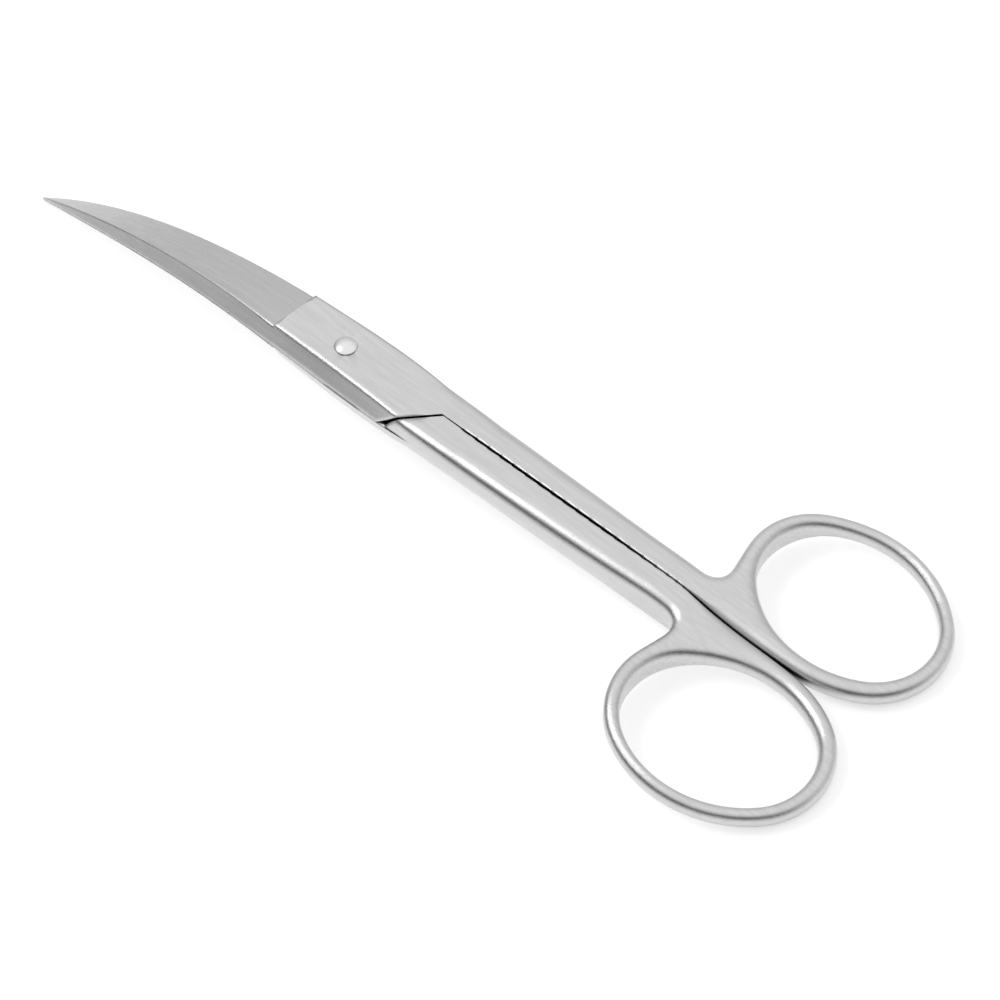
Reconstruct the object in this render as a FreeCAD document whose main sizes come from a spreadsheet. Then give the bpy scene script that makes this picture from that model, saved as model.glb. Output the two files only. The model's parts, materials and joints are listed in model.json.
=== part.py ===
"""Curved dressing scissors of satin stainless steel, 14.5 cm, with two sharp points. Millimetres.

The pair has three pieces: an upper and a lower half, each forged in one piece from ring to tip, and the
rivet that they turn on.

Each half is modelled in the frame of the pivot: the origin is on the rivet's axis, in the plane where the
two halves meet, X runs to the tips, and Z leaves the half's own outer face. Its shank and ring lie at
negative Y, and its joint plate lies above Z = 0. The lower half is the same forging turned half a turn
about X, but its blade bends towards its outer face, so that both blades bend the same way.
"""
import FreeCAD, Part
import Sketcher
import math
import os

# How closely, in millimetres, and in how many rounds the resting turn is found
REST_DEFLECTION = 0.01
REST_ROUNDS = 6
# Below this length, in millimetres, an edge has no extent along X
FLAT_LENGTH = 1e-3

Vector = FreeCAD.Vector
Rotation = FreeCAD.Rotation
Placement = FreeCAD.Placement

doc = FreeCAD.newDocument("DressingScissors")
sheet = doc.addObject("Spreadsheet::Sheet", "Sizes")

# Driving sizes in millimetres and degrees
SIZES = {
    # the two halves at the joint
    "plate_thickness": 2.75,
    "plate_end_reach": 16.5,
    "plate_end_lean": 2.3,
    "step_angle": 47.5,
    "step_gap": 0.35,
    "shoulder_lean": 1.65,
    # shank and web
    "wall_crown_radius": 6.0,
    "web_half_width": 3.65,
    "web_seam": 0.015,
    "notch_to_ring": 15.55,
    "notch_radius": 2.2,
    "web_to_notch": 3.5,
    "thinning_length": 15.0,
    # finger rings
    "ring_reach": 72.05,
    "ring_half_length": 14.57,
    "ring_half_breadth": 11.83,
    "ring_end_radius": 10.3,
    "ring_toe_in": 8.0,
    "ring_half_height": 1.54,
    "ring_edge_radius": 0.88,
    "ring_seam": 0.13,
    "hole_half_length": 12.41,
    "hole_half_breadth": 9.71,
    "hole_end_radius": 8.3,
    "hole_shift": 0.32,
    # blade, from the grind shoulder to the tip
    "shoulder_reach": 9.0,
    "shoulder_skew": 5.0,
    "blade_reach": 57.7,
    "blade_half_width": 4.72,
    "blade_thickness": 2.40,
    "tip_half_width": 0.12,
    "tip_thickness": 0.26,
    "blade_bend_start": 7.5,
    "blade_bend_radius": 109.0,
    "blade_relief": 0.06,
    "tip_relief": 0.02,
    "blade_land": 0.20,
    "tip_land": 0.10,
    "blade_even_taper": 0.55,
    "blade_point_power": 4.0,
    "blade_thinning_power": 2.5,
    "spine_bevel": 0.477,
    # rivet
    "rivet_radius": 1.30,
    "rivet_bore_clearance": 0.03,
    "rivet_fit_clearance": 0.01,
    "rivet_head_radius": 1.5,
    "rivet_head_rim": 0.12,
    "rivet_head_height": 0.55,
    "rivet_head_clearance": 0.02,
}

# Joint plate: place along X, outer top corner, outer low corner, ridge and low spine corner
PLATE_STATIONS = {
    "plate_front": (None, 3.60, 4.72, 3.46, 4.72),
    "plate_middle": (0.0, 3.98, 4.90, 3.55, 4.90),
    "plate_back": (-9.0, 4.03, 4.98, 3.86, 5.02),
    "plate_end": (-17.5, 3.25, 4.40, 4.36, 5.05),
}
# Shank: place along X, half width, height of the widest point, edge radius, seam face
SHANK_STATIONS = {
    "shank_front": (-9.0, 4.80, -0.60, 0.45, 0.10),
    "shank_middle": (-26.5, 4.62, -0.75, 0.95, 0.11),
    "shank_back": (-40.0, 4.36, -0.60, 0.95, 0.14),
}
# Shares of the blade's length, from the shoulder to the tip, at which its section is drawn
BLADE_SHARES = (0.0, 0.16, 0.33, 0.50, 0.66, 0.80, 0.91, 1.0)


def station_cells():
    """The cells of the joint, shank and blade stations, by name."""
    cells = {}
    for name, (place, outer_top, outer_low, ridge, spine) in PLATE_STATIONS.items():
        cells[f"{name}_place"] = "=shoulder_reach" if place is None else place
        cells[f"{name}_outer_top"] = outer_top
        cells[f"{name}_outer_low"] = outer_low
        cells[f"{name}_ridge"] = ridge
        cells[f"{name}_spine"] = spine
    for name, (place, half_width, crown, edge_radius, seam) in SHANK_STATIONS.items():
        cells[f"{name}_place"] = place
        cells[f"{name}_half_width"] = half_width
        cells[f"{name}_crown_height"] = crown
        cells[f"{name}_edge_radius"] = edge_radius
        cells[f"{name}_seam"] = seam
    for number, share in enumerate(BLADE_SHARES):
        blade = f"blade_{number}"
        cells[f"{blade}_share"] = share
        cells[f"{blade}_place"] = (
            f"=shoulder_reach + {blade}_share * (blade_reach - shoulder_reach)")
        cells[f"{blade}_half_width"] = (
            f"=tip_half_width + (blade_half_width - tip_half_width)"
            f" * (1 - blade_even_taper * {blade}_share"
            f" - (1 - blade_even_taper) * {blade}_share ^ blade_point_power)")
        cells[f"{blade}_height"] = (
            f"=tip_thickness + (blade_thickness - tip_thickness)"
            f" * (1 - {blade}_share ^ blade_thinning_power)")
        cells[f"{blade}_land"] = f"=blade_land + (tip_land - blade_land) * {blade}_share"
        cells[f"{blade}_drop"] = (
            f"=blade_bend_radius"
            f" - sqrt(blade_bend_radius ^ 2 - ({blade}_place - blade_bend_start) ^ 2)")
        cells[f"{blade}_relief"] = (
            f"=blade_relief + (tip_relief - blade_relief) * {blade}_share")
    return cells


def oval_cells():
    """The cells of the ring's two ovals: the radius of their long sides and their reach from the seam."""
    cells = {}
    for oval in ("ring", "hole"):
        length, breadth, end = f"{oval}_half_length", f"{oval}_half_breadth", f"{oval}_end_radius"
        cells[f"{oval}_side_radius"] = (
            f"=({length} ^ 2 + {breadth} ^ 2 - 2 * {length} * {end}) / (2 * ({breadth} - {end}))")
    # The oval's edge lies just off the seam, and the finger hole a little further out
    cells["ring_offset"] = (
        "=web_seam + ring_seam + ring_half_breadth"
        " + (ring_side_radius - ring_half_breadth) * (1 - cos(ring_toe_in))")
    cells["hole_offset"] = "=ring_offset + hole_shift"
    return cells


# Web and notch follow the ring: each lies a fixed length in front of what is behind it
WEB_CELLS = {
    "notch_reach": "=ring_reach - notch_to_ring",
    "web_start": "=notch_reach - web_to_notch",
    "thinning_end": "=web_start + thinning_length",
    "web_place": "=-web_start",
}


def fill_sheet(cells):
    """Write each size into a cell of its own, under its own name."""
    for row, (name, value) in enumerate(cells.items(), start=1):
        sheet.set(f"A{row}", name)
        sheet.set(f"B{row}", str(value))
        sheet.setAlias(f"B{row}", name)
    doc.recompute()


fill_sheet({**SIZES, **oval_cells(), **WEB_CELLS, **station_cells()})


def size(name):
    """The number in a named cell."""
    value = sheet.get(name)
    return float(getattr(value, "Value", value))


def value_of(expression):
    """The number that an expression of named cells gives."""
    return float(sheet.evalExpression(expression))


def point_of(across, up):
    """The sketch point that two expressions give."""
    return Vector(value_of(across), value_of(up), 0)


def new_sketch(body, name, role, offset=Placement()):
    """An empty sketch on one of the body's own origin planes, moved within that plane's frame."""
    sketch = body.newObject("Sketcher::SketchObject", name)
    plane = next(f for f in body.Origin.OriginFeatures if f.Role == role)
    sketch.AttachmentSupport = (plane, [""])
    sketch.MapMode = "FlatFace"
    sketch.AttachmentOffset = offset
    return sketch


def bind(sketch, kind, places, expression):
    """Add a constraint with a value to the sketch and tie the value to an expression."""
    number = sketch.addConstraint(Sketcher.Constraint(kind, *places, value_of(expression)))
    sketch.setExpression(f"Constraints[{number}]", expression)


def pin(sketch, piece, vertex, across, up):
    """Fix one vertex of the sketch by two expressions."""
    bind(sketch, "DistanceX", (piece, vertex), across)
    bind(sketch, "DistanceY", (piece, vertex), up)


def join(sketch, kind, *joints):
    """Join pairs of ends, each given as piece, end, piece, end."""
    for joint in joints:
        sketch.addConstraint(Sketcher.Constraint(kind, *joint))


def draw_polygon(sketch, corners):
    """A closed run of straight lines through corners that are given as pairs of expressions."""
    points = [point_of(*corner) for corner in corners]
    count = len(corners)
    for number in range(count):
        sketch.addGeometry(Part.LineSegment(points[number], points[(number + 1) % count]))
    for number, corner in enumerate(corners):
        join(sketch, "Coincident", (number, 2, (number + 1) % count, 1))
        pin(sketch, number, 1, *corner)
    return sketch


def draw_lines(sketch, *ends):
    """Straight lines between pairs of points, by their numbers in the sketch."""
    return [sketch.addGeometry(Part.LineSegment(start, end)) for start, end in ends]


def arc_between(centre, start, end):
    """The arc about a centre that runs counter-clockwise from one point to another."""
    from_start, from_end = start - centre, end - centre
    circle = Part.Circle(centre, Vector(0, 0, 1), from_start.Length)
    return Part.ArcOfCircle(circle, math.atan2(from_start.y, from_start.x),
                            math.atan2(from_end.y, from_end.x))


def cut_through(body, name, sketch):
    """Cut the sketch right through the body, both ways."""
    pocket = body.newObject("PartDesign::Pocket", name)
    pocket.Profile = sketch
    pocket.Type = "ThroughAll"
    pocket.SideType = "Symmetric"
    doc.recompute()
    return pocket


def loft(body, name, sections):
    """A smooth solid through the sections, added to the body."""
    feature = body.newObject("PartDesign::AdditiveLoft", name)
    feature.Profile = sections[0]
    feature.Sections = sections[1:]
    doc.recompute()
    return feature


def station_sketch(body, name, skew=0.0):
    """An empty sketch across the half at a station, turned about the upright by the skew."""
    offset = Placement(Vector(0, 0, size(f"{name}_place")), Rotation(Vector(0, 1, 0), -skew))
    sketch = new_sketch(body, f"{name}_section", "YZ_Plane", offset)
    sketch.setExpression("AttachmentOffset.Base.z", f"Sizes.{name}_place")
    return sketch


def slant_plane(side):
    """An upright plane square to the step edge, whose own first axis points to the tips."""
    angle = math.radians(size("step_angle"))
    forward = Vector(math.sin(angle), -side * math.cos(angle), 0)
    up = Vector(0, 0, 1)
    return Placement(Vector(), Rotation(forward, up, forward.cross(up), "ZXY"))


# The joint plate, with the scarf that ends it over the other half's shank
def plate_section(body, name):
    """The plate's section at a station: a trapezium that stands on the parting plane."""
    skew = size("shoulder_skew") if name == "plate_front" else 0.0
    sketch = station_sketch(body, name, skew)
    return draw_polygon(sketch, [
        (f"-Sizes.{name}_outer_low", "0"),
        (f"Sizes.{name}_spine", "0"),
        (f"Sizes.{name}_ridge", "Sizes.plate_thickness"),
        (f"-Sizes.{name}_outer_top", "Sizes.plate_thickness"),
    ])


def add_plate(body):
    """The plate, cut off behind by a plane that leans forward under its top edge."""
    loft(body, "joint_plate", [plate_section(body, name) for name in reversed(PLATE_STATIONS)])
    sketch = new_sketch(body, "plate_end_profile", "XY_Plane", slant_plane(1))
    top_edge = "-Sizes.plate_end_reach * sin(Sizes.step_angle)"
    low_edge = f"{top_edge} + Sizes.plate_end_lean * sin(Sizes.step_angle)"
    draw_polygon(sketch, [
        (low_edge, "0"),
        (top_edge, "Sizes.plate_thickness"),
        ("-2 * Sizes.plate_end_reach", "Sizes.plate_thickness"),
        ("-2 * Sizes.plate_end_reach", "0"),
    ])
    cut_through(body, "plate_end", sketch)


# Ring and web
def oval_centre(oval, along, across):
    """The centre of one of an oval's four arcs, on one of the oval's own axes."""
    reach = f"{along} * (Sizes.{oval}_half_length - Sizes.{oval}_end_radius)"
    lift = f"{across} * (Sizes.{oval}_side_radius - Sizes.{oval}_half_breadth)"
    turn = "Sizes.ring_toe_in"
    return (f"-Sizes.ring_reach + {reach} * cos({turn}) + {lift} * sin({turn})",
            f"-Sizes.{oval}_offset - {reach} * sin({turn}) + {lift} * cos({turn})")


def draw_oval(sketch, oval, first=None, last=None):
    """An oval's four arcs, from the seam's side round the back, whole or from one point to another."""
    centres = [oval_centre(oval, *side) for side in ((0, -1), (-1, 0), (0, 1), (1, 0))]
    near, back, far, front = [point_of(*centre) for centre in centres]

    def junction(side_centre, end_centre):
        return side_centre + (end_centre - side_centre).normalize() * size(f"{oval}_side_radius")

    front_near = junction(near, front)
    arcs = [
        sketch.addGeometry(arc_between(near, first or front_near, junction(near, back))),
        sketch.addGeometry(arc_between(back, junction(near, back), junction(far, back))),
        sketch.addGeometry(arc_between(far, junction(far, back), junction(far, front))),
        sketch.addGeometry(arc_between(front, junction(far, front), last or front_near)),
    ]
    for arc, following in zip(arcs, arcs[1:]):
        join(sketch, "Tangent", (arc, 2, following, 1))
    bind(sketch, "Radius", (arcs[0],), f"Sizes.{oval}_side_radius")
    for number in (0, 1, 3):
        pin(sketch, arcs[number], 3, *centres[number])
    bind(sketch, "DistanceY", (arcs[2], 3), centres[2][1])
    if first is None:
        join(sketch, "Tangent", (arcs[-1], 2, arcs[0], 1))
    else:
        bind(sketch, "DistanceX", (arcs[2], 3), centres[2][0])
    return arcs


def touching_point(centre, radius, outside):
    """Where a straight line from a point outside a circle touches it, counter-clockwise from the point."""
    away = outside - centre
    angle = math.atan2(away.y, away.x) + math.acos(radius / away.Length)
    return centre + Vector(math.cos(angle), math.sin(angle), 0) * radius


def crossing_line(centre, radius, other, other_radius):
    """The ends of the straight line that touches two circles and crosses between them."""
    away = other - centre
    angle = math.atan2(away.y, away.x) - math.acos((radius + other_radius) / away.Length)
    out = Vector(math.cos(angle), math.sin(angle), 0)
    return centre + out * radius, other - out * other_radius


def ring_outline(body):
    """The outline of ring and web, whose long side runs past the seam, where it is trimmed later."""
    sketch = new_sketch(body, "ring_outline", "XY_Plane")
    web_corner = point_of("-Sizes.web_start", "-Sizes.web_half_width")
    seam_corner = point_of("-Sizes.web_start", "Sizes.ring_edge_radius")
    touch = touching_point(point_of(*oval_centre("ring", 0, -1)), size("ring_side_radius"), seam_corner)
    notch_top = point_of("-Sizes.notch_reach", "-Sizes.web_half_width")
    notch_centre = notch_top - Vector(0, size("notch_radius"), 0)
    notch_back, front = crossing_line(notch_centre, size("notch_radius"),
                                      point_of(*oval_centre("ring", 1, 0)), size("ring_end_radius"))
    oval = draw_oval(sketch, "ring", touch, front)
    ring_front, web_side, web_face, long_side = draw_lines(
        sketch, (front, notch_back), (notch_top, web_corner), (web_corner, seam_corner),
        (seam_corner, touch))
    notch = sketch.addGeometry(arc_between(notch_centre, notch_top, notch_back))
    join(sketch, "Tangent", (oval[-1], 2, ring_front, 1), (ring_front, 2, notch, 2),
         (notch, 1, web_side, 1), (long_side, 2, oval[0], 1))
    join(sketch, "Coincident", (web_side, 2, web_face, 1), (web_face, 2, long_side, 1))
    join(sketch, "Horizontal", (web_side,))
    bind(sketch, "Radius", (notch,), "Sizes.notch_radius")
    bind(sketch, "DistanceX", (notch, 3), "-Sizes.notch_reach")
    pin(sketch, web_face, 1, "-Sizes.web_start", "-Sizes.web_half_width")
    pin(sketch, web_face, 2, "-Sizes.web_start", "Sizes.ring_edge_radius")
    return sketch


def thinning_profile(body, name, side):
    """What is taken off one face, so that the web runs down to the ring's height in two arcs."""
    sketch = new_sketch(body, name, "XZ_Plane")
    start, end, far = "-Sizes.web_start", "-Sizes.thinning_end", "-2 * Sizes.ring_reach"
    middle = "-(Sizes.web_start + Sizes.thinning_end) / 2"
    thick, thin = f"{side} * Sizes.plate_thickness", f"{side} * Sizes.ring_half_height"
    between = f"{side} * (Sizes.plate_thickness + Sizes.ring_half_height) / 2"
    corners = [(end, thin), (far, thin), (far, f"2 * {thick}"), (start, f"2 * {thick}"), (start, thick)]
    points = [point_of(*corner) for corner in corners]
    crest, foot, halfway = points[-1], points[0], point_of(middle, between)
    run, fall = (crest.x - foot.x) / 2, abs(crest.y - foot.y) / 2
    radius = (run ** 2 + fall ** 2) / (2 * fall)
    lines = draw_lines(sketch, *zip(points, points[1:]))
    crown_centre = crest - Vector(0, side * radius, 0)
    hollow_centre = foot + Vector(0, side * radius, 0)
    if side > 0:
        crown = sketch.addGeometry(arc_between(crown_centre, crest, halfway))
        hollow = sketch.addGeometry(arc_between(hollow_centre, foot, halfway))
        join(sketch, "Coincident", (lines[-1], 2, crown, 1), (crown, 2, hollow, 2), (hollow, 1, lines[0], 1))
        pin(sketch, crown, 2, middle, between)
    else:
        crown = sketch.addGeometry(arc_between(crown_centre, halfway, crest))
        hollow = sketch.addGeometry(arc_between(hollow_centre, halfway, foot))
        join(sketch, "Coincident", (lines[-1], 2, crown, 2), (crown, 1, hollow, 1), (hollow, 2, lines[0], 1))
        pin(sketch, crown, 1, middle, between)
    for line, following in zip(lines, lines[1:]):
        join(sketch, "Coincident", (line, 2, following, 1))
    for line, corner in zip(lines, corners):
        pin(sketch, line, 1, *corner)
    pin(sketch, lines[-1], 2, *corners[-1])
    bind(sketch, "DistanceX", (crown, 3), start)
    bind(sketch, "DistanceX", (hollow, 3), end)
    return sketch


def rim_edges(shape):
    """The names of the edges round the top and bottom of ring and web, apart from the web's front face."""
    names = []
    for number, edge in enumerate(shape.Edges, start=1):
        box = edge.BoundBox
        upright = box.XLength + box.YLength < box.ZLength
        at_front = box.XMax > -size("web_start") + FLAT_LENGTH or box.XLength < FLAT_LENGTH
        if not upright and not at_front:
            names.append(f"Edge{number}")
    return names


def add_ring(body):
    """Ring and web: padded, thinned towards the ring, pierced, rounded and trimmed at the seam."""
    pad = body.newObject("PartDesign::Pad", "ring_blank")
    pad.Profile = ring_outline(body)
    pad.SideType = "Symmetric"
    pad.setExpression("Length", "2 * Sizes.plate_thickness")
    doc.recompute()
    cut_through(body, "upper_thinning", thinning_profile(body, "upper_thinning_profile", 1))
    cut_through(body, "lower_thinning", thinning_profile(body, "lower_thinning_profile", -1))
    hole = new_sketch(body, "finger_hole_outline", "XY_Plane")
    draw_oval(hole, "hole")
    pierced = cut_through(body, "finger_hole", hole)
    rounding = body.newObject("PartDesign::Fillet", "ring_rounding")
    rounding.Base = (pierced, rim_edges(pierced.Shape))
    rounding.setExpression("Radius", "Sizes.ring_edge_radius")
    doc.recompute()
    seam = draw_polygon(new_sketch(body, "web_seam_profile", "XY_Plane"), [
        ("-2 * Sizes.ring_reach", "-Sizes.web_seam"),
        ("-Sizes.web_start", "-Sizes.web_seam"),
        ("-Sizes.web_start", "2 * Sizes.ring_edge_radius"),
        ("-2 * Sizes.ring_reach", "2 * Sizes.ring_edge_radius"),
    ])
    cut_through(body, "web_seam", seam)


# Shank
def shank_section(body, name):
    """The shank's section: flat faces, a crowned outer wall with rounded edges, and a flat seam."""
    sketch = station_sketch(body, name)
    half_width, crown_height = f"Sizes.{name}_half_width", f"Sizes.{name}_crown_height"
    edge_radius, seam = f"Sizes.{name}_edge_radius", f"-Sizes.{name}_seam"
    thick = value_of("Sizes.plate_thickness")
    crown_radius, rounding = value_of("Sizes.wall_crown_radius"), value_of(edge_radius)
    crown_centre = point_of(f"-{half_width} + Sizes.wall_crown_radius", crown_height)

    def edge_centre(side):
        up = side * (thick - rounding)
        reach = math.sqrt((crown_radius - rounding) ** 2 - (up - crown_centre.y) ** 2)
        return Vector(crown_centre.x - reach, up, 0)

    def wall_point(centre):
        return crown_centre + (centre - crown_centre).normalize() * crown_radius

    top_centre, bottom_centre = edge_centre(1), edge_centre(-1)
    top_out, bottom_out = Vector(top_centre.x, thick, 0), Vector(bottom_centre.x, -thick, 0)
    top_in, bottom_in = Vector(value_of(seam), thick, 0), Vector(value_of(seam), -thick, 0)
    seam_face, top_face, bottom_face = draw_lines(
        sketch, (bottom_in, top_in), (top_in, top_out), (bottom_out, bottom_in))
    top_edge = sketch.addGeometry(arc_between(top_centre, top_out, wall_point(top_centre)))
    wall = sketch.addGeometry(
        arc_between(crown_centre, wall_point(top_centre), wall_point(bottom_centre)))
    bottom_edge = sketch.addGeometry(
        arc_between(bottom_centre, wall_point(bottom_centre), bottom_out))
    close_section(sketch, (seam_face, top_face, top_edge, wall, bottom_edge, bottom_face), seam)
    for edge in (top_edge, bottom_edge):
        bind(sketch, "Radius", (edge,), edge_radius)
    bind(sketch, "Radius", (wall,), "Sizes.wall_crown_radius")
    pin(sketch, wall, 3, f"-{half_width} + Sizes.wall_crown_radius", crown_height)
    return sketch


def close_section(sketch, run, seam):
    """Join a section's six pieces, which run from the seam over the top, and tie its flat faces."""
    seam_face, top_face, top_edge, wall, bottom_edge, bottom_face = run
    join(sketch, "Coincident", (seam_face, 2, top_face, 1), (bottom_face, 2, seam_face, 1))
    join(sketch, "Tangent", (top_face, 2, top_edge, 1), (top_edge, 2, wall, 1),
         (wall, 2, bottom_edge, 1), (bottom_edge, 2, bottom_face, 1))
    join(sketch, "Horizontal", (top_face,), (bottom_face,))
    pin(sketch, seam_face, 1, seam, "-Sizes.plate_thickness")
    pin(sketch, seam_face, 2, seam, "Sizes.plate_thickness")


def web_section(body):
    """The section where the shank meets the web: as the web's own, with an upright outer wall."""
    sketch = station_sketch(body, "web")
    thick, rounding = value_of("Sizes.plate_thickness"), value_of("Sizes.ring_edge_radius")
    outside, seam = -value_of("Sizes.web_half_width"), "-Sizes.web_seam"
    top_centre = Vector(outside + rounding, thick - rounding, 0)
    bottom_centre = Vector(outside + rounding, rounding - thick, 0)
    top_out, bottom_out = Vector(top_centre.x, thick, 0), Vector(top_centre.x, -thick, 0)
    top_wall, bottom_wall = Vector(outside, top_centre.y, 0), Vector(outside, bottom_centre.y, 0)
    top_in, bottom_in = Vector(value_of(seam), thick, 0), Vector(value_of(seam), -thick, 0)
    seam_face, top_face, wall, bottom_face = draw_lines(
        sketch, (bottom_in, top_in), (top_in, top_out), (top_wall, bottom_wall), (bottom_out, bottom_in))
    top_edge = sketch.addGeometry(arc_between(top_centre, top_out, top_wall))
    bottom_edge = sketch.addGeometry(arc_between(bottom_centre, bottom_wall, bottom_out))
    close_section(sketch, (seam_face, top_face, top_edge, wall, bottom_edge, bottom_face), seam)
    for edge in (top_edge, bottom_edge):
        bind(sketch, "Radius", (edge,), "Sizes.ring_edge_radius")
    join(sketch, "Vertical", (wall,))
    bind(sketch, "DistanceX", (wall, 1), "-Sizes.web_half_width")
    return sketch


def add_shank(body):
    """The shank, from the web to the joint, cut away below for the other half's plate."""
    sections = [shank_section(body, name) for name in SHANK_STATIONS]
    loft(body, "shank", [*sections, web_section(body)])
    sketch = new_sketch(body, "lap_profile", "XY_Plane", slant_plane(-1))
    outer_edge = "-Sizes.plate_end_reach * sin(Sizes.step_angle) - Sizes.step_gap"
    inner_edge = f"{outer_edge} + Sizes.shoulder_lean * sin(Sizes.step_angle)"
    draw_polygon(sketch, [
        (inner_edge, "0"),
        (outer_edge, "-Sizes.plate_thickness"),
        ("2 * Sizes.plate_end_reach", "-Sizes.plate_thickness"),
        ("2 * Sizes.plate_end_reach", "0"),
    ])
    cut_through(body, "lap", sketch)


# Blade
def blade_section(body, number, bend):
    """The blade's section: flat inside, ground from the cutting edge up to the ridge, bevelled spine."""
    name = f"blade_{number}"
    sketch = station_sketch(body, name, size("shoulder_skew") if number == 0 else 0.0)
    half_width, height = f"Sizes.{name}_half_width", f"Sizes.{name}_height"
    inside = f"{bend} * Sizes.{name}_drop + Sizes.{name}_relief"
    return draw_polygon(sketch, [
        (f"-{half_width}", inside),
        (half_width, inside),
        (f"{half_width} - Sizes.spine_bevel * {height}", f"{inside} + {height}"),
        (f"-{half_width}", f"{inside} + Sizes.{name}_land"),
    ])


def add_blade(body, bend):
    """The blade, from the grind shoulder to the tip, bent with the given sign of Z."""
    loft(body, "blade", [blade_section(body, number, bend) for number in range(len(BLADE_SHARES))])


def add_bore(body, clearance):
    """The hole for the rivet, larger than the rivet by the named clearance."""
    sketch = new_sketch(body, "bore_outline", "XY_Plane")
    radius = f"Sizes.rivet_radius + Sizes.{clearance}"
    circle = sketch.addGeometry(Part.Circle(Vector(), Vector(0, 0, 1), value_of(radius)))
    join(sketch, "Coincident", (circle, 3, -1, 1))
    bind(sketch, "Radius", (circle,), radius)
    cut_through(body, "rivet_bore", sketch)


def make_half(name, bend, clearance):
    """One forged half, ground and bored."""
    body = doc.addObject("PartDesign::Body", name)
    add_plate(body)
    add_ring(body)
    add_shank(body)
    add_blade(body, bend)
    add_bore(body, clearance)
    return body


# Rivet
def rivet_profile(body):
    """Half of the rivet's section: a plain shank between two low domed heads."""
    sketch = new_sketch(body, "rivet_profile", "XZ_Plane")
    seat = "Sizes.plate_thickness + Sizes.rivet_head_clearance"
    radius, head_radius = "Sizes.rivet_radius", "Sizes.rivet_head_radius"
    rim, crest = f"{seat} + Sizes.rivet_head_rim", f"{seat} + Sizes.rivet_head_height"
    upper = [(radius, seat), (head_radius, seat), (head_radius, rim), ("0", crest)]
    lower = [(across, f"-({up})") for across, up in reversed(upper)]
    corners = lower + upper
    points = [point_of(*corner) for corner in corners]
    dome = points[-1].y - points[-2].y
    dome_radius = (points[-2].x ** 2 + dome ** 2) / (2 * dome)
    centre = points[-1] - Vector(0, dome_radius, 0)
    pieces = [sketch.addGeometry(arc_between(-centre, points[0], points[1]))]
    pieces += draw_lines(sketch, *zip(points[1:-2], points[2:-1]))
    pieces.append(sketch.addGeometry(arc_between(centre, points[-2], points[-1])))
    pieces += draw_lines(sketch, (points[-1], points[0]))
    for number, piece in enumerate(pieces):
        join(sketch, "Coincident", (piece, 2, pieces[(number + 1) % len(pieces)], 1))
        pin(sketch, piece, 1, *corners[number])
    for arc in (pieces[0], pieces[-2]):
        bind(sketch, "DistanceX", (arc, 3), "0")
    return sketch


def make_rivet():
    """The rivet, turned about its own axis."""
    body = doc.addObject("PartDesign::Body", "pivot_rivet")
    turned = body.newObject("PartDesign::Revolution", "turned_rivet")
    profile = rivet_profile(body)
    turned.Profile = profile
    turned.ReferenceAxis = (profile, ["V_Axis"])
    turned.Angle = 360
    body.Tip = turned
    doc.recompute()
    return body


# The pair as it lies, on its two tips and the backs of its rings
def surface_points(pieces):
    """Points all over the pieces, close enough together to find where they rest."""
    return [point for piece in pieces for point in piece.Shape.tessellate(REST_DEFLECTION)[0]]


def rest_tilt(points):
    """The turn about Y, in degrees, that brings the lowest points before and behind the pivot level."""
    tilt = 0.0
    for _ in range(REST_ROUNDS):
        def height(point):
            return point.z * math.cos(tilt) - point.x * math.sin(tilt)

        front = min((point for point in points if point.x > 0), key=height)
        back = min((point for point in points if point.x < 0), key=height)
        tilt = math.atan2(front.z - back.z, front.x - back.x)
    return math.degrees(tilt)


def lay_down(pieces):
    """Turn the pieces as one until they rest, with the origin below the middle of their box."""
    turn = Placement(Vector(), Rotation(Vector(0, 1, 0), rest_tilt(surface_points(pieces))))
    for piece in pieces:
        piece.Placement = turn * piece.Placement
    doc.recompute()
    points = surface_points(pieces)
    spans = [[getattr(point, axis) for point in points] for axis in "xyz"]
    middle = [(min(span) + max(span)) / 2 for span in spans[:2]]
    move = Placement(Vector(-middle[0], -middle[1], -min(spans[2])), Rotation())
    for piece in pieces:
        piece.Placement = move * piece.Placement
    doc.recompute()
    return move * turn


def check_document(pieces):
    """Stop if a feature failed, or if a piece isn't one sound solid."""
    for item in doc.Objects:
        if {"Invalid", "Error"} & set(item.State):
            raise RuntimeError(f"{item.Label} failed: {item.State}")
    for piece in pieces:
        if piece.Shape.isNull() or not piece.Shape.isValid() or len(piece.Shape.Solids) != 1:
            raise RuntimeError(f"{piece.Label} isn't one sound solid")


upper_half = make_half("upper_half", -1, "rivet_bore_clearance")
lower_half = make_half("lower_half", 1, "rivet_fit_clearance")
lower_half.Placement = Placement(Vector(), Rotation(Vector(1, 0, 0), 180))
pivot_rivet = make_rivet()
pair = [upper_half, lower_half, pivot_rivet]
check_document(pair)
rest = lay_down(pair)
check_document(pair)

os.makedirs("parts", exist_ok=True)
for piece in pair:
    piece.Shape.exportStep(f"parts/{piece.Label}.step")
    print(f"{piece.Label}: {piece.Shape.Volume:.1f} mm3")
pivot, axis = rest.Base, rest.Rotation.multVec(Vector(0, 0, 1))
print(f"pivot at {pivot.x:.3f}, {pivot.y:.3f}, {pivot.z:.3f}")
print(f"pivot axis {axis.x:.6f}, {axis.y:.6f}, {axis.z:.6f}")
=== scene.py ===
# %% [markdown]
# # Curved dressing scissors
# The pair lies closed, as in a surgeon's tray, on its two points and on the backs of its finger rings.
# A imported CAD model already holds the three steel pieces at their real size: an upper half, a lower half
# and the rivet that they turn on. This lesson gives them their light, their finish and their soft edges,
# and never moves them.

# %% Load the frame
import json
import math

import bmesh
import bpy
from mathutils import Matrix, Vector


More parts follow.
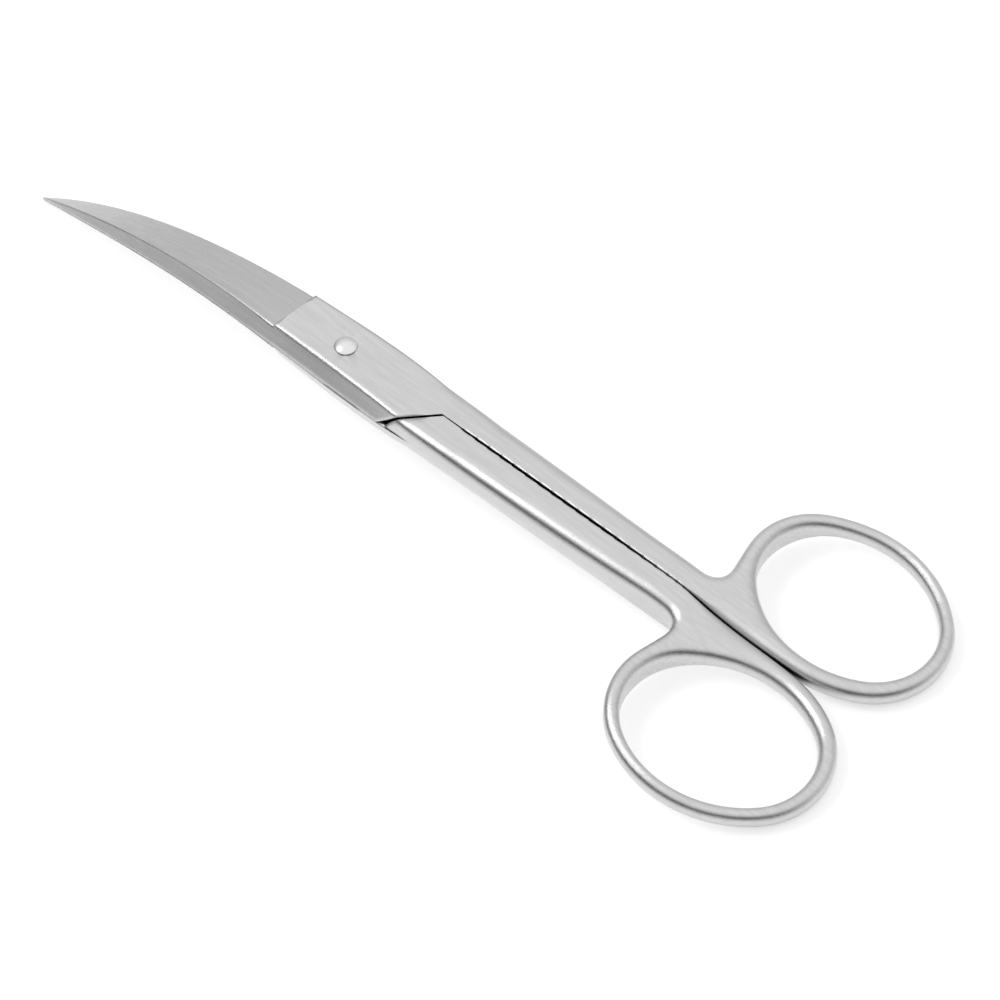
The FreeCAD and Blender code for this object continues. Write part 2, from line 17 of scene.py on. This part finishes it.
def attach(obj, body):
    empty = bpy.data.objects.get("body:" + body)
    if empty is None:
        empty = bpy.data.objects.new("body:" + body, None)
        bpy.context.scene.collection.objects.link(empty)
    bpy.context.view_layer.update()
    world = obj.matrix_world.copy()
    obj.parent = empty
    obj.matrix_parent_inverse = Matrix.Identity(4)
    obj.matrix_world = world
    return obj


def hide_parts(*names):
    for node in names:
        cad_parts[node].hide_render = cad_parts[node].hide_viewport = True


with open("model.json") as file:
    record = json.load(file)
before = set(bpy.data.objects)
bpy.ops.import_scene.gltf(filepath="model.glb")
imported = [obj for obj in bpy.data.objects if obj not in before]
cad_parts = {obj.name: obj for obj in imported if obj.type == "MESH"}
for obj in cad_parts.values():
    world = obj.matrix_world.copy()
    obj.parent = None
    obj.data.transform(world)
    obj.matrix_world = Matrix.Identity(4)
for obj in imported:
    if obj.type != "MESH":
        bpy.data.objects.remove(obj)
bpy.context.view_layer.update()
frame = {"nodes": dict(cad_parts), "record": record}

print("nodes:", sorted(frame["nodes"]))

# %% [markdown]
# ## The pivot's own frame
# Everything on a pair of scissors is laid out from the rivet: the blades run one way from it, the shanks
# the other, and both halves meet in the plane that it crosses squarely. The pair lies tilted on its points,
# so that plane isn't level. Three directions taken from the joint itself let later cells speak of "along
# the blades", "across" and "out of the face", whatever the tilt.

# %% Directions of the pivot
joint = frame["record"]["behaviour"]["joints"][0]
pivot = Vector(joint["pos_m"])
out_of_face = Vector(joint["axis"]).normalized()
along = Vector((out_of_face.z, 0.0, -out_of_face.x))
across = out_of_face.cross(along)
print("pivot in mm:", [round(value * 1000, 2) for value in pivot])

# %% [markdown]
# ## The camera
# A product photographer uses a long lens from some way off, so that the far ring isn't much smaller than
# the near one. The camera could be aimed with a constraint, but its place and its three axes are worked
# out here from an azimuth, an elevation and a distance about the pivot, because the pivot doesn't lie in
# the middle of the picture: the two shifts say how far it lies from there, across the view.

# %% Place the camera
CAMERA_AZIMUTH = math.radians(131.69)
CAMERA_ELEVATION = math.radians(53.39)
CAMERA_DISTANCE = 0.4532
CAMERA_LENS = 127.08
SENSOR_WIDTH = 36.0
IMAGE_SIZE = 1000.0
PIVOT_PIXEL = (346.5, 359.7)

toward_camera = (
    along * math.cos(CAMERA_AZIMUTH) * math.cos(CAMERA_ELEVATION)
    + across * math.sin(CAMERA_AZIMUTH) * math.cos(CAMERA_ELEVATION)
    + out_of_face * math.sin(CAMERA_ELEVATION))
image_right = out_of_face.cross(toward_camera).normalized()
image_up = toward_camera.cross(image_right)
pixel_width = CAMERA_DISTANCE * SENSOR_WIDTH / CAMERA_LENS / IMAGE_SIZE
shift_right = (PIVOT_PIXEL[0] - IMAGE_SIZE / 2) * pixel_width
shift_up = (IMAGE_SIZE / 2 - PIVOT_PIXEL[1]) * pixel_width
camera_place = (pivot + toward_camera * CAMERA_DISTANCE
                - image_right * shift_right - image_up * shift_up)

camera_data = bpy.data.cameras.new("camera")
camera_data.lens = CAMERA_LENS
camera_data.sensor_width = SENSOR_WIDTH
camera_data.clip_start = 0.01
camera = bpy.data.objects.new("camera", camera_data)
turn = Matrix((image_right, image_up, toward_camera)).transposed().to_4x4()
camera.matrix_world = Matrix.Translation(camera_place) @ turn
bpy.context.scene.collection.objects.link(camera)
bpy.context.scene.camera = camera
print("camera at", [round(value, 3) for value in camera_place])

# %% [markdown]
# ## Small helpers for shader nodes
# A material or a world is a tree of nodes with links between them. Each could be written out link by link,
# but the same few steps come again in every finish, so they are helpers: make a node, sum or multiply, step
# smoothly from 0 to 1, blend two numbers, and mix two shaders. Each gives back the socket to link onward.

# %% Helpers for single nodes
WHITE = (1, 1, 1, 1)


def new_material(name):
    """A material with an empty node tree."""
    material = bpy.data.materials.new(name)
    material.use_nodes = True
    material.node_tree.nodes.clear()
    return material


def add_node(tree, kind, **settings):
    """A node of that kind, with its settings, and its inputs by name where the name is a socket's."""
    node = tree.nodes.new(kind)
    for name, value in settings.items():
        if hasattr(node, name):
            setattr(node, name, value)
        else:
            node.inputs[name.replace("_", " ")].default_value = value
    return node


def plug(tree, value, socket):
    """Set a number on a socket, or link another node's socket to it."""
    if isinstance(value, float):
        socket.default_value = value
    else:
        tree.links.new(value, socket)


# %% Helpers for sums, steps and mixes
def add_math(tree, operation, first, second):
    """A sum, product or other operation on two sockets or numbers."""
    node = add_node(tree, "ShaderNodeMath", operation=operation)
    plug(tree, first, node.inputs[0])
    plug(tree, second, node.inputs[1])
    return node.outputs[0]


def smooth_step(tree, value, low, high):
    """0 at the low end, 1 at the high end and a smooth rise between them."""
    node = add_node(tree, "ShaderNodeMapRange", interpolation_type="SMOOTHSTEP")
    node.inputs["From Min"].default_value = low
    node.inputs["From Max"].default_value = high
    tree.links.new(value, node.inputs["Value"])
    return node.outputs["Result"]


def blend(tree, factor, low, high):
    """The low value where the factor is 0 and the high one where it is 1, each a number or a socket."""
    node = add_node(tree, "ShaderNodeMix", data_type="FLOAT")
    plug(tree, factor, node.inputs[0])
    plug(tree, low, node.inputs[2])
    plug(tree, high, node.inputs[3])
    return node.outputs[0]


def mix_shaders(tree, factor, first, second):
    """The first shader where the factor is 0 and the second where it is 1."""
    node = add_node(tree, "ShaderNodeMixShader")
    tree.links.new(factor, node.inputs[0])
    tree.links.new(first.outputs[0], node.inputs[1])
    tree.links.new(second.outputs[0], node.inputs[2])
    return node


# %% [markdown]
# ## Light of the room
# Steel has hardly a colour of its own: it shows what stands round it. A catalogue photograph of steel is
# taken in a white tent with the camera's dark side of the room left open, and the dark band along each
# rounded edge is that room. Black cards could stand round the object, but they would cast shadows and show
# in other views. So the world itself is white to the camera, an even grey to matt surfaces, and to
# reflections white above and darker low down, most of all on the camera's side, where Y grows.

# %% The world
HORIZON, ZENITH = 0.25, 0.85
FAR_SIDE, NEAR_SIDE = -0.6, 0.5
FAR_DARK, NEAR_DARK = 0.3, 0.67
AMBIENT = 0.55

world = bpy.data.worlds.new("studio")
bpy.context.scene.world = world
world.use_nodes = True
tree = world.node_tree
tree.nodes.clear()
direction = add_node(tree, "ShaderNodeTexCoord")
parts = add_node(tree, "ShaderNodeSeparateXYZ")
tree.links.new(direction.outputs["Generated"], parts.inputs[0])
high = smooth_step(tree, parts.outputs["Z"], HORIZON, ZENITH)
low = add_math(tree, "SUBTRACT", 1.0, high)
side = smooth_step(tree, parts.outputs["Y"], FAR_SIDE, NEAR_SIDE)
depth = add_math(tree, "ADD", add_math(tree, "MULTIPLY", side, NEAR_DARK), FAR_DARK)
room = add_math(tree, "SUBTRACT", 1.0, add_math(tree, "MULTIPLY", low, depth))
ambient = add_node(tree, "ShaderNodeBackground", Color=WHITE, Strength=AMBIENT)
mirrored = add_node(tree, "ShaderNodeBackground", Color=WHITE)
tree.links.new(room, mirrored.inputs["Strength"])
backdrop = add_node(tree, "ShaderNodeBackground", Color=WHITE, Strength=1.0)
rays = add_node(tree, "ShaderNodeLightPath")
unseen = mix_shaders(tree, rays.outputs["Is Glossy Ray"], ambient, mirrored)
seen = mix_shaders(tree, rays.outputs["Is Camera Ray"], unseen, backdrop)
output = add_node(tree, "ShaderNodeOutputWorld")
tree.links.new(seen.outputs[0], output.inputs["Surface"])
print("world:", len(tree.nodes), "nodes")

# %% [markdown]
# ## The floor
# The pair lies on a white studio table. Its top is one square far larger than the view. A matt white alone
# renders grey, and more lamp light would burn out the steel, so the table also glows a little, only for
# rays that the camera, a reflection or glass sends straight at it, and it keeps the soft shadow. A real
# table top is a little glossy at a slant, and then it mirrors the room: Layer Weight's facing value gives
# that, and it is kept to the reflections in the steel, so that the table stays white from every side.

# %% The table top
FLOOR_HALF = 1.5
floor_mesh = bpy.data.meshes.new("floor")
grid = bmesh.new()
bmesh.ops.create_grid(grid, x_segments=1, y_segments=1, size=FLOOR_HALF)
grid.to_mesh(floor_mesh)
grid.free()
floor = bpy.data.objects.new("floor", floor_mesh)
bpy.context.scene.collection.objects.link(floor)
print("floor:", FLOOR_HALF * 2, "m square")

# %% The table's white
FLOOR_COLOUR = (0.8, 0.8, 0.8, 1)
FLOOR_LIFT = 0.56


def seen_directly(tree):
    """1 for rays of the camera, of reflections and of glass, and else 0."""
    rays = add_node(tree, "ShaderNodeLightPath")
    sharp = add_math(tree, "MAXIMUM", rays.outputs["Is Camera Ray"], rays.outputs["Is Glossy Ray"])
    return add_math(tree, "MAXIMUM", sharp, rays.outputs["Is Transmission Ray"])


floor_material = new_material("pale_floor")
tree = floor_material.node_tree
matt = add_node(tree, "ShaderNodeBsdfDiffuse", Color=FLOOR_COLOUR)
lift = add_node(tree, "ShaderNodeEmission", Color=WHITE, Strength=FLOOR_LIFT)
no_lift = add_node(tree, "ShaderNodeEmission", Color=(0, 0, 0, 1), Strength=0.0)
glow = mix_shaders(tree, seen_directly(tree), no_lift, lift)
white_top = add_node(tree, "ShaderNodeAddShader")
tree.links.new(matt.outputs[0], white_top.inputs[0])
tree.links.new(glow.outputs[0], white_top.inputs[1])

# %% The table's gloss at a slant
GLOSS_FROM, GLOSS_FULL, GLOSS_SHARE = 0.40, 0.80, 0.50
GLOSS_ROUGHNESS = 0.15

slant = add_node(tree, "ShaderNodeLayerWeight", Blend=0.5)
rays = add_node(tree, "ShaderNodeLightPath")
glancing = smooth_step(tree, slant.outputs["Facing"], GLOSS_FROM, GLOSS_FULL)
reflected = add_math(tree, "MULTIPLY", glancing, rays.outputs["Is Glossy Ray"])
share = add_math(tree, "MULTIPLY", reflected, GLOSS_SHARE)
gloss = add_node(tree, "ShaderNodeBsdfGlossy", Color=WHITE, Roughness=GLOSS_ROUGHNESS)
table_top = mix_shaders(tree, share, white_top, gloss)
output = add_node(tree, "ShaderNodeOutputMaterial")
tree.links.new(table_top.outputs[0], output.inputs["Surface"])
floor.data.materials.append(floor_material)
print("table top:", len(tree.nodes), "nodes")

# %% [markdown]
# ## The soft box
# One large lamp hangs high up beyond the blades' points, to the camera's left, and its reflection is the
# bright line along the rounded edges of the plates and shanks. A small lamp would give a hard, burnt line
# there, so this one is a wide rectangle, turned to face the pivot.

# %% Hang the soft box
BOX_PLACE = Vector((0.456, 0.25, 0.85))
BOX_WIDTH, BOX_HEIGHT, BOX_POWER = 0.40, 0.30, 1.7

box_data = bpy.data.lights.new("soft_box_above", "AREA")
box_data.shape = "RECTANGLE"
box_data.size, box_data.size_y = BOX_WIDTH, BOX_HEIGHT
box_data.energy = BOX_POWER
soft_box = bpy.data.objects.new("soft_box_above", box_data)
facing_pivot = BOX_PLACE.to_track_quat("Z", "Y").to_matrix().to_4x4()
soft_box.matrix_world = Matrix.Translation(pivot + BOX_PLACE) @ facing_pivot
bpy.context.scene.collection.objects.link(soft_box)
print("soft box", round(BOX_PLACE.length, 2), "m from the pivot")

# %% [markdown]
# ## Each half: a crisp front and a tumbled back
# Each half is forged in one piece. Its blade, joint plate and step are ground, so their edges stay crisp.
# Its shank, web and finger ring are tumbled round, so that no edge catches the hand. A narrow bevel on the
# CAD copy suits the front. A bevel wide enough for the back would overlap itself where the web's edges run
# into the ring's. So the half is cut square across the shank, a little behind the step. The front keeps the
# CAD's faces. The back is remeshed evenly, so that smoothing acts alike everywhere, and is smoothed strongly
# on the ring, less on the shank and hardly at all along the seam.

# %% Copy, merge and cut
SHARP_ANGLE = math.radians(28)
EDGE_SOFTNESS = 0.00004
MERGE_DISTANCE = 1e-7


def merged_copy(node):
    """The CAD node's mesh with its loose triangles joined."""
    work = bmesh.new()
    work.from_mesh(node.data)
    bmesh.ops.remove_doubles(work, verts=work.verts, dist=MERGE_DISTANCE)
    return work


def softened_copy(node):
    """The same with its sharp edges bevelled."""
    work = merged_copy(node)
    sharp = [edge for edge in work.edges if edge.calc_face_angle(0) > SHARP_ANGLE]
    bmesh.ops.bevel(work, geom=sharp, offset=EDGE_SOFTNESS, offset_type="OFFSET", affect="EDGES",
                    segments=2, profile=0.5, clamp_overlap=True, material=-1)
    return work


def cut_mesh(work, place, keep_front):
    """Cut a mesh square across the shank, keep one side and give the edges of the cut."""
    geometry = work.verts[:] + work.edges[:] + work.faces[:]
    cut = bmesh.ops.bisect_plane(work, geom=geometry, plane_co=pivot + along * place, plane_no=along,
                                 clear_inner=keep_front, clear_outer=not keep_front)
    return [part for part in cut["geom_cut"] if isinstance(part, bmesh.types.BMEdge)]


# %% From mesh to object and back
def new_object(mesh, name):
    """An object of that mesh, linked to the scene."""
    piece = bpy.data.objects.new(name, mesh)
    bpy.context.scene.collection.objects.link(piece)
    return piece


def object_from(work, name):
    """A new object from a finished bmesh."""
    mesh = bpy.data.meshes.new(name)
    work.to_mesh(mesh)
    work.free()
    return new_object(mesh, name)


def applied(piece):
    """The mesh that the piece's modifiers give, with the piece itself taken away."""
    depsgraph = bpy.context.evaluated_depsgraph_get()
    mesh = bpy.data.meshes.new_from_object(piece.evaluated_get(depsgraph))
    bpy.data.objects.remove(piece)
    return mesh


def evenly_shaded(piece):
    """Smooth shading in which the broad faces stay flat and the narrow ones bend."""
    piece.data.shade_smooth()
    weighted = piece.modifiers.new("even_shading", "WEIGHTED_NORMAL")
    weighted.keep_sharp = True
    return piece


# %% [markdown]
# ## Where the tumbling wears
# A vertex group tells the Smooth modifier how much to smooth each point. The weight starts from nothing at
# the cut, so that the back still fits the front there. Away from it the weight depends on the distance from
# the seam between the two shanks, whose edges stay crisp, and it is full on the ring. Smoothing thins a
# ring, so the ring is swelled first by about what it will lose. The seam's two faces draw back a little, so
# that it shows as the dark line that it is.

# %% Weights and small moves
CUT = -0.0200
CUT_BLEND, SEAM_BLEND = 0.004, 0.002
SEAM_WEIGHT, SHANK_WEIGHT = 0.03, 0.55
SEAM_NEAR, SEAM_FAR = 0.0004, 0.0016
RING_START, RING_WHOLE = 0.056, 0.062
RING_SWELL = 0.00006
SEAM_OPENING, SEAM_DEPTH, SEAM_FACING = 0.00003, 0.0003, 0.7


def smooth_ramp(value, low, high):
    """0 below the low value and 1 above the high one, with an even slope between them."""
    t = min(max((value - low) / (high - low), 0.0), 1.0)
    return t * t * (3.0 - 2.0 * t)


def prepare_tumbling(piece):
    """Give each point of an even back its smoothing weight, swell the ring and open the seam."""
    group = piece.vertex_groups.new(name="rounding")
    normals = [Vector(vert.normal) for vert in piece.data.vertices]
    for vert, normal in zip(piece.data.vertices, normals):
        offset = vert.co - pivot
        x, y = offset.dot(along), abs(offset.dot(across))
        ring = smooth_ramp(-x, RING_START, RING_WHOLE)
        shank = SEAM_WEIGHT + (SHANK_WEIGHT - SEAM_WEIGHT) * smooth_ramp(y, SEAM_NEAR, SEAM_FAR)
        weight = smooth_ramp(CUT - x, 0.0, CUT_BLEND) * (shank + (1.0 - shank) * ring)
        group.add([vert.index], weight, "REPLACE")
        if y < SEAM_DEPTH and abs(normal.dot(across)) > SEAM_FACING:
            vert.co -= normal * SEAM_OPENING * smooth_ramp(CUT - x, 0.0, SEAM_BLEND)
        vert.co += normal * RING_SWELL * ring


# %% Tumble the back and join it on
VOXEL = 0.00016
ROUNDING_TURNS = 100
CUT_MARGIN, JOINT_STRIP = 0.0010, 0.0002


def round_back(node):
    """The shank, web and ring of one half as a fine even mesh with softly rounded edges."""
    work = merged_copy(node)
    rim = cut_mesh(work, CUT + CUT_MARGIN, False)
    bmesh.ops.holes_fill(work, edges=rim, sides=0)
    blank = object_from(work, "back_blank")
    remesh = blank.modifiers.new("even_mesh", "REMESH")
    remesh.mode, remesh.voxel_size = "VOXEL", VOXEL
    back = new_object(applied(blank), "back_even")
    prepare_tumbling(back)
    tumbled = back.modifiers.new("tumbled", "SMOOTH")
    tumbled.factor, tumbled.iterations = 1.0, ROUNDING_TURNS
    tumbled.vertex_group = "rounding"
    mesh = applied(back)
    trimmed = bmesh.new()
    trimmed.from_mesh(mesh)
    cut_mesh(trimmed, CUT, False)
    trimmed.to_mesh(mesh)
    trimmed.free()
    return mesh


def finished_half(node, name):
    """One half: its crisp front from the CAD copy, its tumbled back joined on behind."""
    work = softened_copy(node)
    cut_mesh(work, CUT + JOINT_STRIP, True)
    front_faces = len(work.faces)
    work.from_mesh(round_back(node))
    rims = [edge for edge in work.edges if edge.is_boundary]
    bmesh.ops.bridge_loops(work, edges=rims)
    bmesh.ops.recalc_face_normals(work, faces=work.faces)
    still_open = sum(edge.is_boundary for edge in work.edges)
    back_faces = len(work.faces) - front_faces
    print(name, front_faces, "faces in front,", back_faces, "behind,", still_open, "open edges")
    return evenly_shaded(object_from(work, name))


# %% [markdown]
# ## The rivet
# The rivet is turned from rod and its heads are hammered to low domes. The CAD model has that shape already,
# so a copy with its rim bevelled is all that it needs.

# %% The rivet's copy
def finished_rivet(node, name):
    """The rivet with its sharp edges softened."""
    return evenly_shaded(object_from(softened_copy(node), name))


# %% [markdown]
# ## Satin steel: how round each edge looks
# The bevel on the front is narrow, because its faces are long thin triangles that a wide one would break up,
# so the soft look of the plate's ridge is left to the shading. Cycles' Bevel node bends the normal near an
# edge, within a radius that may change from place to place: almost nothing along the seam, a little on the
# blade, more on the plate's ridge and most on shank and ring. It is worked out from the distance to the
# pivot along and across, which Object coordinates give.

# %% Radius of the edges
SEAM_EDGE, RIDGE_EDGE, SHANK_EDGE, BLADE_EDGE = 0.00003, 0.0008, 0.0018, 0.0003
INNER, OUTER = 0.0012, 0.0028
BLADE_FROM, BLADE_FULL = 0.006, 0.015
PLATE_FROM, PLATE_FULL = -0.016, -0.012
RING_FROM, RING_FULL = -0.058, -0.062


def distance_along(tree, direction):
    """How far each point lies from the pivot in that direction, in metres."""
    coordinates = add_node(tree, "ShaderNodeTexCoord")
    offset = add_node(tree, "ShaderNodeVectorMath", operation="SUBTRACT")
    offset.inputs[1].default_value = pivot
    dot = add_node(tree, "ShaderNodeVectorMath", operation="DOT_PRODUCT")
    dot.inputs[1].default_value = direction
    tree.links.new(coordinates.outputs["Object"], offset.inputs[0])
    tree.links.new(offset.outputs[0], dot.inputs[0])
    return dot.outputs["Value"]


def edge_radius(tree):
    """How round the edges look at each place, in metres."""
    x = distance_along(tree, along)
    aside = add_math(tree, "ABSOLUTE", distance_along(tree, across), 0.0)
    outward = smooth_step(tree, aside, INNER, OUTER)
    blade = smooth_step(tree, x, BLADE_FROM, BLADE_FULL)
    plate = smooth_step(tree, x, PLATE_FROM, PLATE_FULL)
    ring = smooth_step(tree, x, RING_FROM, RING_FULL)
    outer = blend(tree, plate, SHANK_EDGE, RIDGE_EDGE)
    body = blend(tree, outward, SEAM_EDGE, outer)
    body = blend(tree, ring, body, SHANK_EDGE)
    return blend(tree, blade, body, BLADE_EDGE)


# %% [markdown]
# ## Satin steel: brushing, clouds and painted shade in crevices
# A satin finish is brushed along the length, so it has fine streaks, and it isn't quite even, so it has
# faint clouds. A picture of brushed steel would repeat. A noise texture squeezed across the length gives
# streaks without end, which shade the colour a little and tilt the normal, and a second noise varies the
# roughness. Where the two halves meet, little light comes out again, so shade is painted into the colour
# there: an Ambient Occlusion node darkens what has steel within about a millimetre of it.

# %% The brushed surface
STROKE_SCALE = (70, 2200, 2200)
CLOUD_SCALE = 220.0
SATIN_SMOOTH, SATIN_ROUGH = 0.20, 0.34
STROKE_DARK, STROKE_LIGHT = (0.60, 0.60, 0.60, 1), (0.67, 0.67, 0.67, 1)
STROKE_FROM, STROKE_TO = 0.3, 0.7
# Near-black colour of the shade that is painted into the crevices between the halves.
PAINTED_SHADE_COLOUR = (0.02, 0.02, 0.02, 1)
PAINTED_SHADE_REACH, PAINTED_SHADE_FROM, PAINTED_SHADE_TO = 0.0012, 0.10, 0.7
MARK_HEIGHT = 0.00001


def shaded(tree, value, dark, light, start, end):
    """A colour ramp from dark to light, read at that value."""
    ramp = add_node(tree, "ShaderNodeValToRGB")
    first, last = ramp.color_ramp.elements
    first.position, last.position = start, end
    first.color, last.color = dark, light
    tree.links.new(value, ramp.inputs["Fac"])
    return ramp.outputs["Color"]


def finished_metal(tree):
    """A metal shader that is already linked to the tree's output."""
    shader = add_node(tree, "ShaderNodeBsdfPrincipled", Metallic=1.0)
    output = add_node(tree, "ShaderNodeOutputMaterial")
    tree.links.new(shader.outputs[0], output.inputs["Surface"])
    return shader


satin_steel = new_material("satin_steel")
tree = satin_steel.node_tree
shader = finished_metal(tree)
coordinates = add_node(tree, "ShaderNodeTexCoord")
strokes = add_node(tree, "ShaderNodeMapping")
strokes.inputs["Scale"].default_value = STROKE_SCALE
brushed = add_node(tree, "ShaderNodeTexNoise", Scale=1.0, Detail=3.0)
clouds = add_node(tree, "ShaderNodeTexNoise", Scale=CLOUD_SCALE, Detail=4.0)
tree.links.new(coordinates.outputs["Object"], strokes.inputs["Vector"])
tree.links.new(strokes.outputs[0], brushed.inputs["Vector"])
tree.links.new(coordinates.outputs["Object"], clouds.inputs["Vector"])
rough = blend(tree, clouds.outputs["Fac"], SATIN_SMOOTH, SATIN_ROUGH)
tree.links.new(rough, shader.inputs["Roughness"])

# %% Rounded edges, strokes and painted shade in crevices
rounding = add_node(tree, "ShaderNodeBevel", samples=8)
tree.links.new(edge_radius(tree), rounding.inputs["Radius"])
bump = add_node(tree, "ShaderNodeBump", Strength=0.35, Distance=MARK_HEIGHT)
tree.links.new(brushed.outputs["Fac"], bump.inputs["Height"])
tree.links.new(rounding.outputs[0], bump.inputs["Normal"])
tree.links.new(bump.outputs[0], shader.inputs["Normal"])

# Painted shade: an Ambient Occlusion node darkens the base colour towards near black where other steel is
# near.
painted_shade_ao = add_node(tree, "ShaderNodeAmbientOcclusion", samples=8, Distance=PAINTED_SHADE_REACH)
painted_shade_mix = add_node(tree, "ShaderNodeMix", data_type="RGBA")
painted_shade_mix.inputs[6].default_value = PAINTED_SHADE_COLOUR
stroke_colour = shaded(tree, brushed.outputs["Fac"], STROKE_DARK, STROKE_LIGHT, STROKE_FROM, STROKE_TO)
tree.links.new(smooth_step(tree, painted_shade_ao.outputs["AO"], PAINTED_SHADE_FROM, PAINTED_SHADE_TO), painted_shade_mix.inputs[0])
tree.links.new(stroke_colour, painted_shade_mix.inputs[7])
tree.links.new(painted_shade_mix.outputs[2], shader.inputs["Base Color"])
print("satin steel:", len(tree.nodes), "nodes")

# %% [markdown]
# ## Polished steel
# The rivet's head is polished brighter than the halves, but hammering and wiping leave fine marks on it.
# Each kind of mark could have a texture of its own. At this size one fine noise does for all of them: it
# varies the roughness and the colour, and raises a slight bump.

# %% The polished surface
MARK_SCALE = 2500.0
POLISH_SMOOTH, POLISH_ROUGH = 0.14, 0.26
POLISH_DARK, POLISH_LIGHT = (0.74, 0.74, 0.74, 1), (0.86, 0.86, 0.86, 1)

polished_steel = new_material("polished_steel")
tree = polished_steel.node_tree
shader = finished_metal(tree)
coordinates = add_node(tree, "ShaderNodeTexCoord")
marks = add_node(tree, "ShaderNodeTexNoise", Scale=MARK_SCALE, Detail=4.0)
tree.links.new(coordinates.outputs["Object"], marks.inputs["Vector"])
rough = blend(tree, marks.outputs["Fac"], POLISH_SMOOTH, POLISH_ROUGH)
tree.links.new(rough, shader.inputs["Roughness"])
mark_colour = shaded(tree, marks.outputs["Fac"], POLISH_DARK, POLISH_LIGHT, 0.0, 1.0)
tree.links.new(mark_colour, shader.inputs["Base Color"])
bump = add_node(tree, "ShaderNodeBump", Strength=0.2, Distance=MARK_HEIGHT)
tree.links.new(marks.outputs["Fac"], bump.inputs["Height"])
tree.links.new(bump.outputs[0], shader.inputs["Normal"])
print("polished steel:", len(tree.nodes), "nodes")

# %% [markdown]
# ## Dress the three pieces
# Each finished piece stands for the CAD node that it was copied from, rides on that node's body, so that it
# turns about the rivet with it, and gets the script's own steel material. The rivet is held tight by
# the lower half, and the upper half turns on it.

# %% Make, ride and replace
DRESS = (
    ("upper_half", "upper", "satin_steel", satin_steel, finished_half),
    ("lower_half", "lower", "satin_steel", satin_steel, finished_half),
    ("pivot_rivet", "lower", "polished_steel", polished_steel, finished_rivet))
for name, body, slot, finish, make in DRESS:
    piece = make(frame["nodes"][name], f"{name}_finished")
    piece.data.materials.append(finish)
    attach(piece, body)
    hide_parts(name)
    print(piece.name, "rides on", body)

# %% [markdown]
# ## Colours
# The Standard view shows each colour as it is written.

# %% Show colours as written
bpy.context.scene.view_settings.view_transform = "Standard"
